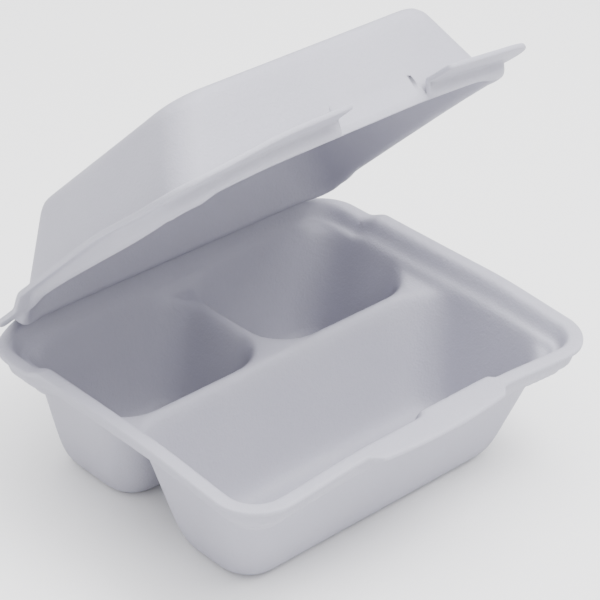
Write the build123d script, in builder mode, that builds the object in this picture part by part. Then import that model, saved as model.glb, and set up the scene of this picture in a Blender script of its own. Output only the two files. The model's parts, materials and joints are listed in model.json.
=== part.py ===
from build123d import *
import os

os.makedirs("parts", exist_ok=True)

# Hinged foam food container: one thermoformed sheet, folded along a living
# hinge at the back.  Millimetres.  X runs along the hinge, -Y is the front
# (tab side), +Z is up.  The origin is the centre of the large front foot, on
# the plane that the container stands on.

# ---------------------------------------------------------------- dimensions
T = 2.4            # thickness of the foam sheet
S = 2.6            # the same sheet measured level through a sloping wall
W = 210.0          # rim width, along the hinge
D = 186.0          # rim depth, back edge to front edge
H = 71.0           # height of the tray's rim face above the feet
YC = 30.0          # middle of the rim in Y, measured from the origin
R_RIM = 22.0       # plan radius of the rim corners
LAND = 7.5         # width of the flat rim
BAND = 9.0         # depth of the nesting band below the rim face
BAND_IN = 10.5     # inset of the band at its foot
LEDGE_IN = 13.7    # inset of the ledge's inner edge
RIDGE = 16.0       # depth of the divider tops below the rim face
RIDGE_W = 8.0      # width of the divider tops
DIV_Y = 8.0        # main divider's centreline, from the middle of the rim
FLOOR_X = 78.0     # half width of the tray floor at the floor's face
FLOOR_F = -57.0    # front edge of the large floor
FLOOR_B = 76.0     # back edge of the small floors
R_FLOOR = 8.0      # radius between floor and wall, inside

TAB_ROOT = 40.5    # half width of the tab where it leaves the rim
TAB_TIP = 35.5     # half width of the tab at its outer corners
TAB_OUT = 5.5      # how far the outer corners stand out of the rim
TAB_BOW = 2.5      # further bow of the tab's outer edge at its middle
TAB_IN = 13.4      # inset of the tab land's inner edge from the rim edge

GAP = 0.3          # clearance between the two rim faces when closed
SIDE = 0.6         # clearance between lid plug and nesting band
HINGE_Y = 94.2     # hinge line, from the middle of the rim
HINGE_Z = H + GAP / 2
LID_FRONT = -98.0  # lid's front edge when closed, from the middle of the rim
LID_X = 103.0      # half width of the lid's rim
LID_H = 35.3       # height of the lid's top face above the tray's rim face
PLUG = 8.4         # depth of the lid's plug below the tray's rim face
GROOVE = 1.7       # level width of the groove round the dome, at its foot
TOP_X = 67.5       # half width of the lid's top face
TOP_F = -77.5      # front edge of the lid's top face
TOP_B = 56.0       # back edge of the lid's top face
R_TOP = 6.0        # outer radius between the dome's walls and top
NOTCH = 42.0       # half width of the notch that takes the tab
OPEN = 43.0        # lid angle as modelled, from closed, in degrees

ZF = T                       # floor's upper face
ZR = H - RIDGE               # divider tops
ZL = H - BAND                # ledge


def plane_at(x0, x1, y0, y1, z):
    """Level plane centred on the rectangle x0..x1, y0..y1 (rim coordinates)."""
    return Plane(((x0 + x1) / 2, YC + (y0 + y1) / 2, z))


def between(a, b, t):
    return tuple(p + (q - p) * t for p, q in zip(a, b))


# Each pocket is described by its rectangle (x0, x1, y0, y1) at the divider
# tops and at the floor; walls run straight between the two.
wx = LEDGE_IN
slope = lambda top, low, z: top + (low - top) * (ZL - z) / (ZL - ZF)
TUB_TOP = (-W / 2 + wx, W / 2 - wx, -D / 2 + wx, D / 2 - wx)          # at ZL
TUB_LOW = (-FLOOR_X, FLOOR_X, FLOOR_F, FLOOR_B)                       # at ZF
tub_at = lambda z: tuple(slope(a, b, z) for a, b in zip(TUB_TOP, TUB_LOW))

FRONT_TOP = (tub_at(ZR)[0], tub_at(ZR)[1], tub_at(ZR)[2], DIV_Y - RIDGE_W / 2)
FRONT_LOW = (-FLOOR_X, FLOOR_X, FLOOR_F, DIV_Y - 19.0)
LEFT_TOP = (tub_at(ZR)[0], -RIDGE_W / 2, DIV_Y + RIDGE_W / 2, tub_at(ZR)[3])
LEFT_LOW = (-FLOOR_X, -13.0, DIV_Y + 14.0, FLOOR_B)
RIGHT_TOP = (-LEFT_TOP[1], -LEFT_TOP[0], LEFT_TOP[2], LEFT_TOP[3])
RIGHT_LOW = (-LEFT_LOW[1], -LEFT_LOW[0], LEFT_LOW[2], LEFT_LOW[3])

POCKETS = ((FRONT_TOP, FRONT_LOW), (LEFT_TOP, LEFT_LOW), (RIGHT_TOP, RIGHT_LOW))


def grow(r, s):
    return (r[0] - s, r[1] + s, r[2] - s, r[3] + s)


# ------------------------------------------------ insides of the three pockets
pocket_in = []
for top, low in POCKETS:
    with BuildPart() as cavity:
        with BuildSketch(plane_at(*top, ZR)):
            RectangleRounded(top[1] - top[0], top[3] - top[2], 19.0)
        with BuildSketch(plane_at(*low, ZF)):
            RectangleRounded(low[1] - low[0], low[3] - low[2], 15.0)
        loft()
        fillet(cavity.faces().sort_by(Axis.Z)[0].edges(), R_FLOOR)
    pocket_in.append(cavity.part)

# ----------------------------------- outsides of the pockets: the feet below
pocket_out = []
for top, low in POCKETS:
    t2 = grow(between(low, top, (ZR - T - ZF) / (ZR - ZF)), S)
    l2 = grow(between(low, top, -ZF / (ZR - ZF)), S)
    with BuildPart() as foot:
        with BuildSketch(plane_at(*t2, ZR - T)):
            RectangleRounded(t2[1] - t2[0], t2[3] - t2[2], 19.0 + S)
        with BuildSketch(plane_at(*l2, 0)):
            RectangleRounded(l2[1] - l2[0], l2[3] - l2[2], 15.0 + S)
        loft()
        fillet(foot.faces().sort_by(Axis.Z)[0].edges(), R_FLOOR + T - 0.6)
    pocket_out.append(foot.part)

# ------------------------------------------- tub above the divider tops
tub_r = tub_at(ZR)
with BuildPart() as tub_in:
    with BuildSketch(plane_at(*TUB_TOP, ZL)):
        RectangleRounded(TUB_TOP[1] - TUB_TOP[0], TUB_TOP[3] - TUB_TOP[2], 19.0)
    with BuildSketch(plane_at(*tub_r, ZR)):
        RectangleRounded(tub_r[1] - tub_r[0], tub_r[3] - tub_r[2], 19.0)
    loft()

tub_low = grow(tub_at(ZR - T), S)
tub_hi = grow(tub_at(ZL - T), S)
with BuildPart() as tub_out:
    with BuildSketch(plane_at(*tub_hi, ZL - T)):
        RectangleRounded(tub_hi[1] - tub_hi[0], tub_hi[3] - tub_hi[2], 19.0 + S)
    with BuildSketch(plane_at(*tub_low, ZR - T)):
        RectangleRounded(tub_low[1] - tub_low[0], tub_low[3] - tub_low[2], 19.0 + S)
    loft()

# ------------------------------------------- nesting band just under the rim
land_in = TAB_ROOT - 1.0
with BuildPart() as band_in:
    with BuildSketch(Plane((0, YC, H))):
        RectangleRounded(W - 2 * LAND, D - 2 * LAND, R_RIM - 4.0)
    with BuildSketch(Plane((0, YC, ZL))):
        RectangleRounded(W - 2 * BAND_IN, D - 2 * BAND_IN, R_RIM - 4.0)
    loft()
    # the rim stays full width behind the tab: the band stops at each side of it
    with BuildSketch(Plane((0, YC - D / 2, ZL - 1))):
        Rectangle(2 * land_in, 2 * TAB_IN)
    extrude(amount=BAND + 2, mode=Mode.SUBTRACT)

with BuildPart() as band_out:
    with BuildSketch(Plane((0, YC, H))):
        RectangleRounded(W - 2 * LAND + 2 * S, D - 2 * LAND + 2 * S, R_RIM - 4.0 + S)
    with BuildSketch(Plane((0, YC, ZL - T))):
        RectangleRounded(W - 2 * BAND_IN + 2 * S, D - 2 * BAND_IN + 2 * S, R_RIM - 4.0 + S)
    loft()
    # under the tab the sheet goes straight from the rim into the front wall
    with BuildSketch(Plane((0, YC - D / 2, ZL - T - 1))):
        Rectangle(2 * (land_in - S), 2 * (TAB_IN - S + 0.6))
    extrude(amount=BAND + 1, mode=Mode.SUBTRACT)

# ------------------------------------------------------------------ base tray
with BuildPart() as base_tray:
    with BuildSketch(Plane((0, YC, H - T))):
        RectangleRounded(W, D, R_RIM)
        with BuildLine():
            a = (-TAB_ROOT, -D / 2 + 3)
            b = (-TAB_ROOT, -D / 2)
            c = (-TAB_TIP, -D / 2 - TAB_OUT)
            d = (TAB_TIP, -D / 2 - TAB_OUT)
            e = (TAB_ROOT, -D / 2)
            f = (TAB_ROOT, -D / 2 + 3)
            Polyline(a, b, c)
            ThreePointArc(c, (0, -D / 2 - TAB_OUT - TAB_BOW), d)
            Polyline(d, e, f, a)
        make_face()
    extrude(amount=T)
    add(band_out.part)
    add(tub_out.part)
    for outside in pocket_out:
        add(outside)
    add(band_in.part, mode=Mode.SUBTRACT)
    add(tub_in.part, mode=Mode.SUBTRACT)
    for inside in pocket_in:
        add(inside, mode=Mode.SUBTRACT)

base_tray.part.label = "base_tray"
export_step(base_tray.part, "parts/base_tray.step")

# ------------------------------------------------------------------------ lid
# Modelled closed, in the tray's coordinates, then swung open on the hinge.
ZRIM = H + GAP                      # lower face of the lid's rim
ZP = H - PLUG                       # lowest edge of the plug
plug_top = (-W / 2 + LAND + SIDE, W / 2 - LAND - SIDE, -D / 2 + LAND + SIDE, D / 2 - LAND - SIDE)
draft = (BAND_IN - LAND) / BAND
plug_low = grow(plug_top, -draft * PLUG)
groove_top = grow(plug_top, -S)
groove_low = grow(plug_top, -S - draft * (PLUG - T))
# dome outside: foot of the groove up to the top face
dome_low = grow(groove_low, -GROOVE)
dome_low = (dome_low[0], dome_low[1], -D / 2 + TAB_IN + 0.7, dome_low[3])   # at ZP + T
dome_top = (-TOP_X, TOP_X, TOP_F, TOP_B)                                    # at H + LID_H
dome_at = lambda z: between(dome_low, dome_top, (z - ZP - T) / (H + LID_H - ZP - T))

with BuildPart() as plug_solid:
    with BuildSketch(plane_at(*grow(plug_top, draft * (GAP + T)), ZRIM + T)):
        RectangleRounded(*[grow(plug_top, draft * (GAP + T))[i] - grow(plug_top, draft * (GAP + T))[i - 1] for i in (1, 3)], R_RIM - 4.6)
    with BuildSketch(plane_at(*plug_low, ZP)):
        RectangleRounded(plug_low[1] - plug_low[0], plug_low[3] - plug_low[2], R_RIM - 4.6)
    loft()

with BuildPart() as groove_solid:
    g_hi = grow(groove_top, draft * (GAP + T + 1))
    with BuildSketch(plane_at(*g_hi, ZRIM + T + 1)):
        RectangleRounded(g_hi[1] - g_hi[0], g_hi[3] - g_hi[2], R_RIM - 4.6 - S)
    with BuildSketch(plane_at(*groove_low, ZP + T)):
        RectangleRounded(groove_low[1] - groove_low[0], groove_low[3] - groove_low[2], R_RIM - 4.6 - S)
    loft()

dome_z0 = dome_at(ZP)
with BuildPart() as dome_out:
    with BuildSketch(plane_at(*dome_top, H + LID_H)):
        RectangleRounded(dome_top[1] - dome_top[0], dome_top[3] - dome_top[2], 17.0)
    with BuildSketch(plane_at(*dome_z0, ZP)):
        RectangleRounded(dome_z0[1] - dome_z0[0], dome_z0[3] - dome_z0[2], 15.0)
    loft()
    fillet(dome_out.faces().sort_by(Axis.Z)[-1].edges(), R_TOP)

dome_in_top = grow(dome_at(H + LID_H - T), -S)
dome_in_low = grow(dome_at(ZP - 1), -S)
with BuildPart() as dome_in:
    with BuildSketch(plane_at(*dome_in_top, H + LID_H - T)):
        RectangleRounded(dome_in_top[1] - dome_in_top[0], dome_in_top[3] - dome_in_top[2], 17.0 - S)
    with BuildSketch(plane_at(*dome_in_low, ZP - 1)):
        RectangleRounded(dome_in_low[1] - dome_in_low[0], dome_in_low[3] - dome_in_low[2], 15.0 - S)
    loft()
    fillet(dome_in.faces().sort_by(Axis.Z)[-1].edges(), R_TOP - T)

lid_rect = (-LID_X, LID_X, LID_FRONT, D / 2 + 0.5)
with BuildPart() as lid:
    with BuildSketch(plane_at(*lid_rect, ZRIM)):
        RectangleRounded(lid_rect[1] - lid_rect[0], lid_rect[3] - lid_rect[2], R_RIM)
    extrude(amount=T)
    add(plug_solid.part)
    add(groove_solid.part, mode=Mode.SUBTRACT)
    # notch in the rim and plug for the tray's tab
    with BuildSketch(Plane((0, YC - D / 2 - 10, ZP - 1))):
        Rectangle(2 * NOTCH, 2 * (TAB_IN + 10 + 0.1))
    extrude(amount=PLUG + T + 3, mode=Mode.SUBTRACT)
    add(dome_out.part)
    add(dome_in.part, mode=Mode.SUBTRACT)

hinge_axis = Axis((0, YC + HINGE_Y, HINGE_Z), (-1, 0, 0))
lid_open = lid.part.rotate(hinge_axis, OPEN)
lid_open.label = "lid"
export_step(lid_open, "parts/lid.step")

print("hinge", YC + HINGE_Y, HINGE_Z)
print("base", base_tray.part.volume, base_tray.part.bounding_box())
print("lid", lid_open.volume, lid_open.bounding_box(), len(lid_open.solids()))
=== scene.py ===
import json
import math
import bpy
import numpy as np
from mathutils import Matrix, Vector

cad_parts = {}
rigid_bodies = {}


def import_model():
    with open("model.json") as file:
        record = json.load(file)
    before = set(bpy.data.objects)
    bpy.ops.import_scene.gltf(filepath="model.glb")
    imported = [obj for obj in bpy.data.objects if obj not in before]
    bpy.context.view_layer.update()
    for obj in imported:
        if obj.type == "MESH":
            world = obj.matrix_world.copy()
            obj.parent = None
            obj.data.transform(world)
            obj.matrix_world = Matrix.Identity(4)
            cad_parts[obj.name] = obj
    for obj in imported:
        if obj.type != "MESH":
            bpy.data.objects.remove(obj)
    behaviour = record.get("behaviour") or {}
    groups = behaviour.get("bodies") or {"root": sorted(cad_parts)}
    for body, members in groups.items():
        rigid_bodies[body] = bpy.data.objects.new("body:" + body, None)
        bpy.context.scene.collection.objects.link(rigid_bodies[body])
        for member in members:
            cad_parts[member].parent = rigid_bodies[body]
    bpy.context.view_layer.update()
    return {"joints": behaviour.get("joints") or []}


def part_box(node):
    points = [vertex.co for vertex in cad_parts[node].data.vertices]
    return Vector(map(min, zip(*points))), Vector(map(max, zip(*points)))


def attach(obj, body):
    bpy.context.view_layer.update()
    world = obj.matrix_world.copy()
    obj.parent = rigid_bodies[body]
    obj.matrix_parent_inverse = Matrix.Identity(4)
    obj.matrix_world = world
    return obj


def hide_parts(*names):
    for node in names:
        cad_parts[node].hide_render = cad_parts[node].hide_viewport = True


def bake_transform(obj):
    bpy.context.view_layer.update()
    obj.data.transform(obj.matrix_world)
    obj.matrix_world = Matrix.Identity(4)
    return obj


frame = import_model()

# ------------------------------------------------------------------ the frame
# Millimetres here, rim coordinates: x along the hinge, y = 0 at the middle of
# the rim, z = 0 at the feet.  Meshes are written in metres in the part's frame.
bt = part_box("base_tray")
W = (bt[1][0] - bt[0][0]) * 1000.0
H = bt[1][2] * 1000.0
YB = bt[1][1] * 1000.0
D = 186.0
YC = YB - D / 2
T = 2.4
hinge = frame["joints"][0]
HY = hinge["pos_m"][1] * 1000.0 - YC
HZ = hinge["pos_m"][2] * 1000.0
OPEN = math.radians(43.0)

ZF, ZL, ZR = T, H - 9.0, H - 16.0
GAP, PLUG = 0.3, 8.4
ZRIM, ZP = H + GAP, H - PLUG
LID_H = 35.3
NOTCH_L, NOTCH_R, TAB_IN = 7.0, 48.0, 13.4


def sstep(v, a, b):
    t = np.clip((v - a) / (b - a), 0.0, 1.0)
    return t * t * (3.0 - 2.0 * t)


def rr(x, y, x0, x1, y0, y1, r):
    """Signed distance to a rounded rectangle, negative inside."""
    qx = np.abs(x - (x0 + x1) / 2) - ((x1 - x0) / 2 - r)
    qy = np.abs(y - (y0 + y1) / 2) - ((y1 - y0) / 2 - r)
    return np.minimum(np.maximum(qx, qy), 0.0) + np.hypot(np.maximum(qx, 0), np.maximum(qy, 0)) - r


def loft_level(x, y, low, top, r0, r1, t0, t1, growing=True):
    """Level t at which the point lies on the wall of a loft from low (t=0) to top (t=1)."""
    lo = np.full(x.shape, float(t0))
    hi = np.full(x.shape, float(t1))
    for _ in range(26):
        t = (lo + hi) / 2
        b = [low[i] + (top[i] - low[i]) * t for i in range(4)]
        inside = rr(x, y, b[0], b[1], b[2], b[3], r0 + (r1 - r0) * t) < 0
        if growing:
            hi = np.where(inside, t, hi)
            lo = np.where(inside, lo, t)
        else:
            lo = np.where(inside, t, lo)
            hi = np.where(inside, hi, t)
    return (lo + hi) / 2


def blur(z, sigma, step):
    r = max(1, int(math.ceil(3 * sigma / step)))
    k = np.exp(-0.5 * (np.arange(-r, r + 1) * step / sigma) ** 2)
    k /= k.sum()
    p = np.pad(z, r, mode="edge")
    p = sum(k[i] * p[i:i + z.shape[0], :] for i in range(2 * r + 1))
    return sum(k[i] * p[:, i:i + z.shape[1]] for i in range(2 * r + 1))


def offset_down(z, dist, step):
    """Lower face of a sheet of even thickness under the surface z."""
    r = int(math.ceil(dist / step))
    p = np.pad(z, r, mode="edge")
    out = np.full(z.shape, np.inf)
    for i in range(-r, r + 1):
        for j in range(-r, r + 1):
            q = dist ** 2 - (i * step) ** 2 - (j * step) ** 2
            if q < 0:
                continue
            out = np.minimum(out, p[r + i:r + i + z.shape[0], r + j:r + j + z.shape[1]] - math.sqrt(q))
    return out


STEP = 0.5
GX = np.arange(-112.0, 112.01, STEP)
GY = np.arange(-108.0, 104.01, STEP)
X, Y = np.meshgrid(GX, GY, indexing="ij")
INSET = -rr(X, Y, -W / 2, W / 2, -D / 2, D / 2, 22.0)


def droop(x, y):
    """The rim dips towards its front corners, and drops a step at the back corners."""
    d = np.hypot(np.abs(x) - W / 2, y + D / 2)
    front = 3.6 * (1.0 - sstep(d, 8.0, 72.0))
    back = 4.6 * sstep(y, 46.0, 60.0) * sstep(np.abs(x), 74.0, 96.0)
    return front + back


DROOP = droop(X, Y)


def at(z, x, y):
    fx = np.clip((x - GX[0]) / STEP, 0, len(GX) - 1.001)
    fy = np.clip((y - GY[0]) / STEP, 0, len(GY) - 1.001)
    i, j = fx.astype(int), fy.astype(int)
    a, b = fx - i, fy - j
    return (z[i, j] * (1 - a) * (1 - b) + z[i + 1, j] * a * (1 - b)
            + z[i, j + 1] * (1 - a) * b + z[i + 1, j + 1] * a * b)


# ------------------------------------------------------- the tray's upper face
wx = 13.7
tub_top = (-W / 2 + wx, W / 2 - wx, -D / 2 + wx, D / 2 - wx)
tub_low = (-78.0, 78.0, -57.0, 76.0)
tub_at = lambda z: [a + (b - a) * (ZL - z) / (ZL - ZF) for a, b in zip(tub_top, tub_low)]
tr = tub_at(ZR)
DIV = 8.0
pockets = [
    ((tr[0], tr[1], tr[2], DIV - 4.0), (-78.0, 78.0, -57.0, DIV - 19.0)),
    ((tr[0], -4.0, DIV + 4.0, tr[3]), (-78.0, -13.0, DIV + 14.0, 76.0)),
    ((4.0, tr[1], DIV + 4.0, tr[3]), (13.0, 78.0, DIV + 14.0, 76.0)),
]
cap = np.interp(INSET, [-60, 7.3, 10.7, 13.7, 15.3, 200], [H, H, ZL + 0.3, ZL - 0.3, ZR + 1.2, ZR + 1.2])
land = (X > -3.0) & (X < 42.0) & (Y < -D / 2 + TAB_IN)
cap = np.where(land, H, cap)
z = cap.copy()
for top, low in pockets:
    t = loft_level(X, Y, low, top, 15.0, 19.0, -0.7, 1.5)
    wall = ZF + t * (ZR - ZF)
    # floor fillet, as a circular arc between the floor and the drafted wall
    s_low = -rr(X, Y, *low, 15.0)
    s_top = -rr(X, Y, *top, 19.0)
    al = np.arctan(np.clip((s_top - s_low) / (ZR - ZF), 0.03, 1.2))
    R = 9.0
    L = R * np.tan((math.pi / 2 - al) / 2)
    arc = ZF + R - np.sqrt(np.clip(R * R - (L - s_low) ** 2, 0, None))
    p = np.where(s_low > L, ZF, np.where(s_low > -L * np.sin(al), arc, wall))
    z = np.minimum(z, np.maximum(p, ZF))
soft = blur(z, 2.1, STEP)
crisp = blur(z, 1.15, STEP)
mix = sstep(INSET, 13.5, 19.0)
mix = np.where((X > -6) & (X < 45), mix * sstep(Y, -D / 2 + 15.0, -D / 2 + 20.0), mix)
TRAY = crisp * (1 - mix) + soft * mix
TRAY = TRAY - DROOP * (1 - sstep(INSET, 9.0, 17.0))
# a few very shallow waves, as thermoformed foam has
TRAY = TRAY + 0.10 * np.sin(X / 23.0 + 0.7) * np.sin(Y / 19.0 + 1.1)
TRAY_LOW = offset_down(TRAY, T, STEP)
steps = np.interp(INSET, [-60, 3.4, 4.2, 8.4, 9.2, 13.8, 200],
                  [H - T, H - T, H - 10.6, H - 10.6, H - 16.4, H - 16.4, H - 16.4]) - DROOP * (1 - sstep(INSET, 9.0, 17.0))
TRAY_LOW = np.minimum(TRAY_LOW, blur(steps, 0.35, STEP))

# --------------------------------------------------- the lid's outer face, closed
plug = 8.1
groove = np.interp(INSET, [-60, 10.7, 13.5, 200], [ZRIM + T, ZRIM + T, ZP + T, ZP + T])
dome_low = (-90.6, 90.6, -78.9, 78.6)
skew = 4.0 * sstep(Y, -60.0, 50.0) * sstep(-X, 20.0, 60.0)
dome_top = (-69.0, 74.0, -77.5, 57.0)
t = loft_level(X + skew, Y, dome_low, dome_top, 15.0, 17.0, -0.6, 1.8, growing=False)
dome = ZP + T + t * (H + LID_H - ZP - T)
top_z = H + LID_H
s_top = -rr(X + skew, Y, *dome_top, 17.0)
s_low = -rr(X + skew, Y, *dome_low, 15.0)
al = np.arctan(np.clip((s_low - s_top) / (top_z - ZP - T), 0.02, 1.2))
R = 6.5
L = R * np.tan((math.pi / 2 - al) / 2)
arc = top_z - R + np.sqrt(np.clip(R * R - (L - s_top) ** 2, 0, None))
dome = np.where(s_top > L, top_z, np.where(s_top > -L * np.sin(al), arc, dome))
dome = np.minimum(dome, top_z)
lidz = np.maximum(groove - DROOP * (1 - sstep(INSET, 9.0, 17.0)), dome)
lsoft = blur(lidz, 0.8, STEP)
lcrisp = blur(lidz, 0.7, STEP)
LID = lcrisp * (1 - sstep(INSET, 12, 17)) + lsoft * sstep(INSET, 12, 17)
LID = LID + 0.10 * np.sin(X / 21.0 + 2.1) * np.sin(Y / 24.0 + 0.4) * sstep(INSET, 14, 24)
LID_LOW = offset_down(LID, T, STEP)


# ------------------------------------------------------------ outlines in plan
def arc_pts(cx, cy, r, a0, a1, n):
    a = np.radians(np.linspace(a0, a1, n))
    return np.c_[cx + r * np.cos(a), cy + r * np.sin(a)]


def resample(p, n):
    d = np.r_[0, np.cumsum(np.hypot(*np.diff(p, axis=0).T))]
    s = np.linspace(0, d[-1], n)
    return np.c_[np.interp(s, d, p[:, 0]), np.interp(s, d, p[:, 1])]


def round_path(pts, radii, n=7):
    """Polyline with its inner corners rounded."""
    out = [np.array(pts[0], float)]
    for a, b, c, r in zip(pts[:-2], pts[1:-1], pts[2:], radii):
        a, b, c = (np.array(v, float) for v in (a, b, c))
        u, v = (a - b) / np.linalg.norm(a - b), (c - b) / np.linalg.norm(c - b)
        ang = math.acos(np.clip(u @ v, -1, 1))
        k = min(r / math.tan(ang / 2), 0.48 * np.linalg.norm(a - b), 0.48 * np.linalg.norm(c - b))
        p0, p1 = b + u * k, b + v * k
        for s in np.linspace(0, 1, n):
            out.append((1 - s) ** 2 * p0 + 2 * s * (1 - s) * b + s * s * p1)
    out.append(np.array(pts[-1], float))
    return np.array(out)


def outline(x, y0, y1, r, front):
    """Four sides between the middles of the corner arcs: front, right, back, left."""
    c = r
    f = np.vstack([arc_pts(-x + c, y0 + c, r, 225, 270, 12), front, arc_pts(x - c, y0 + c, r, 270, 315, 12)])
    rt = np.vstack([arc_pts(x - c, y0 + c, r, 315, 360, 12), arc_pts(x - c, y1 - c, r, 0, 45, 12)])
    bk = np.vstack([arc_pts(-x + c, y1 - c, r, 135, 90, 12), arc_pts(x - c, y1 - c, r, 90, 45, 12)])
    lf = np.vstack([arc_pts(-x + c, y0 + c, r, 225, 180, 12), arc_pts(-x + c, y1 - c, r, 180, 135, 12)])
    return f, rt, bk, lf


yf = -D / 2
bow = [(x, yf - 5.5 - 2.5 * (1 - (x / 35.5) ** 2)) for x in np.linspace(-35.5, 35.5, 31)]
tab_path = round_path([(-60, yf), (-41.0, yf), bow[0], bow[3]], [3.0, 3.5])
tab_right = tab_path[::-1] * np.array([-1, 1])
TAB_FRONT = np.vstack([tab_path, np.array(bow[4:-4]), tab_right])
LF = -98.0
n_left = round_path([(-75, LF), (-NOTCH_L, LF), (-NOTCH_L + 1.2, -79.35), (20, -79.35)], [1.8, 2.2])
n_right = round_path([(75, LF), (NOTCH_R, LF), (NOTCH_R - 3.5, -79.35), (20, -79.35)], [1.8, 2.6])
NOTCH_FRONT = np.vstack([n_left, n_right[::-1][1:]])


def sheet_mesh(name, sides, hi, lo, nu, nv, shift):
    """Closed sheet between the height fields hi and lo over a four-sided outline."""
    f, rt, bk, lf = sides
    f, bk = resample(f, nu), resample(bk, nu)
    lf, rt = resample(lf, nv), resample(rt, nv)
    ring = ([(i, 0) for i in range(nu)] + [(nu - 1, j) for j in range(1, nv)]
            + [(i, nv - 1) for i in range(nu - 2, -1, -1)] + [(0, j) for j in range(nv - 2, 0, -1)])
    rim = np.vstack([f, rt[1:], bk[::-1][1:], lf[::-1][1:-1]])
    tg = np.roll(rim, -1, 0) - np.roll(rim, 1, 0)
    tg /= np.linalg.norm(tg, axis=1)[:, None] + 1e-9
    out = np.c_[tg[:, 1], -tg[:, 0]]
    base = np.zeros((nu, nv, 2))
    for k, (i, j) in enumerate(ring):
        base[i, j] = rim[k] - out[k] * 0.75
    f, bk, lf, rt = base[:, 0].copy(), base[:, -1].copy(), base[0].copy(), base[-1].copy()
    u = np.linspace(0, 1, nu)[:, None, None]
    v = np.linspace(0, 1, nv)[None, :, None]
    base = ((1 - v) * f[:, None] + v * bk[:, None] + (1 - u) * lf[None] + u * rt[None]
            - (1 - u) * (1 - v) * f[0] - u * (1 - v) * f[-1] - (1 - u) * v * bk[0] - u * v * bk[-1])

    def spread(q, zf):
        q = q.copy()
        for _ in range(5):
            for axis in (0, 1):
                zz = at(zf, q[..., 0], q[..., 1])
                p3 = np.dstack([q, zz])
                p = p3 if axis == 0 else p3.transpose(1, 0, 2)
                qq = p.copy()
                n = p.shape[0]
                seg = np.sqrt((np.diff(p, axis=0) ** 2).sum(2))
                flat = np.sqrt((np.diff(p[..., :2], axis=0) ** 2).sum(2))
                seg = 0.75 * seg + 0.25 * flat
                cum = np.vstack([np.zeros(p.shape[1]), np.cumsum(seg, axis=0)])
                for k in range(1, p.shape[1] - 1):
                    s = np.linspace(0, cum[-1, k], n)
                    s = 0.6 * s + 0.4 * cum[:, k]
                    for c in (0, 1):
                        qq[:, k, c] = np.interp(s, cum[:, k], p[:, k, c])
                q = (qq if axis == 0 else qq.transpose(1, 0, 2))[..., :2].copy()
            # even out the spacing between neighbouring rows
            for _ in range(3):
                m = (q[2:, 1:-1] + q[:-2, 1:-1] + q[1:-1, 2:] + q[1:-1, :-2]) / 4
                q[1:-1, 1:-1] = 0.7 * q[1:-1, 1:-1] + 0.3 * m
        return q

    qa, qb = spread(base, hi), spread(base, lo)
    za, zb = at(hi, qa[..., 0], qa[..., 1]), at(lo, qb[..., 0], qb[..., 1])
    verts = [np.dstack([qa, za]).reshape(-1, 3), np.dstack([qb, zb]).reshape(-1, 3)]
    n = nu * nv
    zt, zl = at(hi, rim[:, 0], rim[:, 1]), at(lo, rim[:, 0], rim[:, 1])
    m = len(ring)
    prof = [(0.42, 0.12), (0.12, 0.38), (0.0, 0.85)]
    for ins, dep in prof:
        verts.append(np.c_[rim - out * ins, zt - dep])
    for ins, dep in prof[::-1]:
        verts.append(np.c_[rim - out * ins, zl + dep])
    verts = np.vstack(verts)
    faces = []
    idx = np.arange(n).reshape(nu, nv)
    a, b, c, d = idx[:-1, :-1].ravel(), idx[1:, :-1].ravel(), idx[1:, 1:].ravel(), idx[:-1, 1:].ravel()
    faces.append(np.c_[a, b, c, d])
    faces.append(np.c_[a, d, c, b] + n)
    ids = [i * nv + j for i, j in ring]
    bands = [np.array(ids)] + [2 * n + k * m + np.arange(m) for k in range(6)] + [np.array(ids) + n]
    for p, q in zip(bands[:-1], bands[1:]):
        faces.append(np.c_[p, q, np.roll(q, -1), np.roll(p, -1)])
    faces = np.vstack(faces)
    verts[:, 1] += YC
    verts = shift(verts) / 1000.0
    me = bpy.data.meshes.new(name)
    me.from_pydata(verts.tolist(), [], faces.tolist())
    me.validate()
    me.update()
    me.polygons.foreach_set("use_smooth", [True] * len(me.polygons))
    ob = bpy.data.objects.new(name, me)
    bpy.context.scene.collection.objects.link(ob)
    return ob


def opened(v):
    y, zz = v[:, 1] - YC - HY, v[:, 2] - HZ
    c, s = math.cos(OPEN), math.sin(OPEN)
    o = v.copy()
    o[:, 1] = YC + HY + y * c + zz * s
    o[:, 2] = HZ - y * s + zz * c
    return o


NU, NV = ((218, 206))
tray = sheet_mesh("foam_tray_shell", outline(W / 2, -D / 2, D / 2, 22.0, TAB_FRONT), TRAY, TRAY_LOW, NU, NV, lambda v: v)
lid = sheet_mesh("foam_lid_shell", outline(103.0, LF, D / 2 + 0.5, 22.0, NOTCH_FRONT), LID, LID_LOW, NU, NV, opened)

# --------------------------------------------------------- the living hinge web
bridge = []
p0 = Vector((0, D / 2 - 1.6, H - T * 0.5))
p1 = Vector((0, HY + 1.25, H - 0.35))
e0 = np.array([[0, YC + D / 2 - 1.1, ZRIM + T * 0.5]])
e1 = opened(e0)[0]
p2 = Vector((0, e1[1] - YC, e1[2]))
NP, NX = 10, 120
half = 0.55
rows = []
for k in range(NP + 1):
    s = k / NP
    c = (1 - s) ** 2 * p0 + 2 * s * (1 - s) * p1 + s * s * p2
    tn = (2 * (1 - s) * (p1 - p0) + 2 * s * (p2 - p1)).normalized()
    rows.append((c, Vector((0, -tn.z, tn.y))))
wv, wf = [], []
xs = np.linspace(-83.0, 83.0, NX + 1)
for x in xs:
    for c, nn in rows:
        wv.append((x, c.y + nn.y * half + YC, c.z + nn.z * half))
    for c, nn in rows[::-1]:
        wv.append((x, c.y - nn.y * half + YC, c.z - nn.z * half))
M = 2 * (NP + 1)
for i in range(NX):
    for k in range(M):
        a, b = i * M + k, i * M + (k + 1) % M
        wf.append((a, b, b + M, a + M))
wf.append(tuple(range(M)))
wf.append(tuple(reversed([NX * M + k for k in range(M)])))
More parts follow.
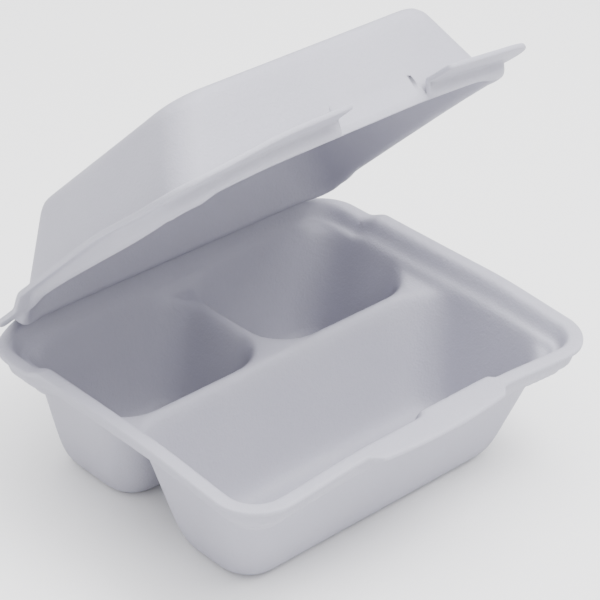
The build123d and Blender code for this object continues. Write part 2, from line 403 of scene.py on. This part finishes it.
me = bpy.data.meshes.new("living_hinge")
me.from_pydata([(a / 1000, b / 1000, c / 1000) for a, b, c in wv], [], wf)
me.validate()
me.update()
me.polygons.foreach_set("use_smooth", [True] * len(me.polygons))
web = bpy.data.objects.new("living_hinge", me)
bpy.context.scene.collection.objects.link(web)
for ob in (tray, lid, web):
    import bmesh
    bm = bmesh.new()
    bm.from_mesh(ob.data)
    bmesh.ops.recalc_face_normals(bm, faces=bm.faces)
    bm.to_mesh(ob.data)
    bm.free()

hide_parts("base_tray")
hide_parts("lid")
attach(tray, "tray")
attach(lid, "lid_body")
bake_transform(web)


# ------------------------------------------------------------------- materials
def foam(name, seed, tint=(0.50, 0.495, 0.565)):
    m = bpy.data.materials.new(name)
    m.use_nodes = True
    nt = m.node_tree
    n, l = nt.nodes, nt.links
    n.clear()
    out = n.new("ShaderNodeOutputMaterial")
    b = n.new("ShaderNodeBsdfPrincipled")
    thin = n.new("ShaderNodeBsdfTranslucent")
    both = n.new("ShaderNodeMixShader")
    both.inputs[0].default_value = 0.20
    l.new(b.outputs[0], both.inputs[1])
    l.new(thin.outputs[0], both.inputs[2])
    l.new(both.outputs[0], out.inputs[0])
    tc = n.new("ShaderNodeTexCoord")
    mp = n.new("ShaderNodeMapping")
    mp.inputs["Location"].default_value = (seed, seed * 0.7, 0)
    l.new(tc.outputs["Object"], mp.inputs[0])
    # slow variation in the sheet's density
    cloud = n.new("ShaderNodeTexNoise")
    cloud.inputs["Scale"].default_value = 24.0
    cloud.inputs["Detail"].default_value = 4.0
    l.new(mp.outputs[0], cloud.inputs["Vector"])
    # fine cells of the foam
    cell = n.new("ShaderNodeTexVoronoi")
    cell.inputs["Scale"].default_value = 900.0
    l.new(mp.outputs[0], cell.inputs["Vector"])
    grain = n.new("ShaderNodeTexNoise")
    grain.inputs["Scale"].default_value = 420.0
    grain.inputs["Detail"].default_value = 6.0
    grain.inputs["Roughness"].default_value = 0.65
    l.new(mp.outputs[0], grain.inputs["Vector"])
    ramp = n.new("ShaderNodeValToRGB")
    ramp.color_ramp.elements[0].position = 0.3
    ramp.color_ramp.elements[0].color = (tint[0] * 0.955, tint[1] * 0.955, tint[2] * 0.965, 1)
    ramp.color_ramp.elements[1].position = 0.72
    ramp.color_ramp.elements[1].color = (tint[0] * 1.03, tint[1] * 1.03, tint[2] * 1.025, 1)
    mixv = n.new("ShaderNodeMix")
    mixv.data_type = "FLOAT"
    mixv.inputs["Factor"].default_value = 0.38
    l.new(cloud.outputs["Fac"], mixv.inputs["A"])
    l.new(grain.outputs["Fac"], mixv.inputs["B"])
    l.new(mixv.outputs[0], ramp.inputs[0])
    l.new(ramp.outputs[0], b.inputs["Base Color"])
    l.new(ramp.outputs[0], thin.inputs["Color"])
    rr_ = n.new("ShaderNodeMapRange")
    rr_.inputs["To Min"].default_value = 0.46
    rr_.inputs["To Max"].default_value = 0.64
    l.new(grain.outputs["Fac"], rr_.inputs["Value"])
    l.new(rr_.outputs[0], b.inputs["Roughness"])
    b1 = n.new("ShaderNodeBump")
    b1.inputs["Strength"].default_value = 0.22
    b1.inputs["Distance"].default_value = 0.0004
    l.new(cell.outputs["Distance"], b1.inputs["Height"])
    b2 = n.new("ShaderNodeBump")
    b2.inputs["Strength"].default_value = 0.42
    b2.inputs["Distance"].default_value = 0.0006
    l.new(grain.outputs["Fac"], b2.inputs["Height"])
    l.new(b1.outputs[0], b2.inputs["Normal"])
    l.new(b2.outputs[0], b.inputs["Normal"])
    b.inputs["Specular IOR Level"].default_value = 0.35
    return m


mt, ml = foam("foam_tray_skin", 0.13), foam("foam_lid_skin", 0.41)
tray.data.materials.append(mt)
lid.data.materials.append(ml)
web.data.materials.append(foam("foam_hinge_skin", 0.27))
for node, mat in (("base_tray", mt), ("lid", ml)):
    for o in bpy.data.objects:
        if o.type == "MESH" and o.name == node:
            o.data.materials.clear()
            o.data.materials.append(mat)

# ----------------------------------------------------------------------- stage
bpy.ops.mesh.primitive_plane_add(size=14, location=(0, 0, 0))
floor = bpy.context.object
floor.name = "studio_floor"
fm = bpy.data.materials.new("studio_floor")
fm.use_nodes = True
pb = fm.node_tree.nodes["Principled BSDF"]
pb.inputs["Base Color"].default_value = (0.90, 0.90, 0.90, 1)
pb.inputs["Roughness"].default_value = 0.9
floor.data.materials.append(fm)

world = bpy.data.worlds.new("soft_world")
world.use_nodes = True
world.node_tree.nodes["Background"].inputs[0].default_value = (0.98, 0.98, 1.0, 1)
wn, wl = world.node_tree.nodes, world.node_tree.links
wt, ws, wm = wn.new("ShaderNodeTexCoord"), wn.new("ShaderNodeSeparateXYZ"), wn.new("ShaderNodeMapRange")
wm.inputs["To Min"].default_value = 0.45
wm.inputs["To Max"].default_value = 2.4
wl.new(wt.outputs["Generated"], ws.inputs[0])
wl.new(ws.outputs["Z"], wm.inputs["Value"])
wl.new(wm.outputs[0], wn["Background"].inputs[1])
bpy.context.scene.world = world


def area(name, loc, target, size, power, col=(1, 1, 1)):
    d = bpy.data.lights.new(name, "AREA")
    d.energy = power
    d.size = size
    d.color = col
    o = bpy.data.objects.new(name, d)
    bpy.context.scene.collection.objects.link(o)
    o.location = loc
    o.rotation_euler = (Vector(target) - Vector(loc)).to_track_quat("-Z", "Y").to_euler()
    return o


area("key", (0.42, -0.62, 1.55), (0, 0, 0.08), 0.9, 40.0)
area("fill", (-0.75, -0.7, 1.4), (0, 0, 0.10), 1.4, 7.0)
area("top", (0.0, 0.35, 1.5), (0, 0, 0.0), 1.2, 16.0)

# ---------------------------------------------------------------------- camera
AZ, EL, ROLL = math.radians(42.14), math.radians(31.71), math.radians(0.194)
F, TX, TY, DIST = 2309.0, 4.262, 74.14, 1069.0
ca, sa, ce, se = math.cos(AZ), math.sin(AZ), math.cos(EL), math.sin(EL)
right = Vector((ca, -sa, 0))
up = Vector((sa * se, ca * se, ce))
back = Vector((-sa * ce, -ca * ce, se))
cr, sr = math.cos(ROLL), math.sin(ROLL)
r2, u2 = cr * right + sr * up, -sr * right + cr * up
pos = (r2 * TX + u2 * TY + back * DIST + Vector((0, YC, 0))) / 1000.0
cam_d = bpy.data.cameras.new("camera")
cam = bpy.data.objects.new("camera", cam_d)
bpy.context.scene.collection.objects.link(cam)
cam.matrix_world = Matrix(((r2.x, u2.x, back.x, pos.x), (r2.y, u2.y, back.y, pos.y), (r2.z, u2.z, back.z, pos.z), (0, 0, 0, 1)))
cam_d.sensor_width = 36.0
cam_d.lens = 36.0 * F / 600.0
cam_d.clip_end = 50
bpy.context.scene.camera = cam

bpy.context.view_layer.update()
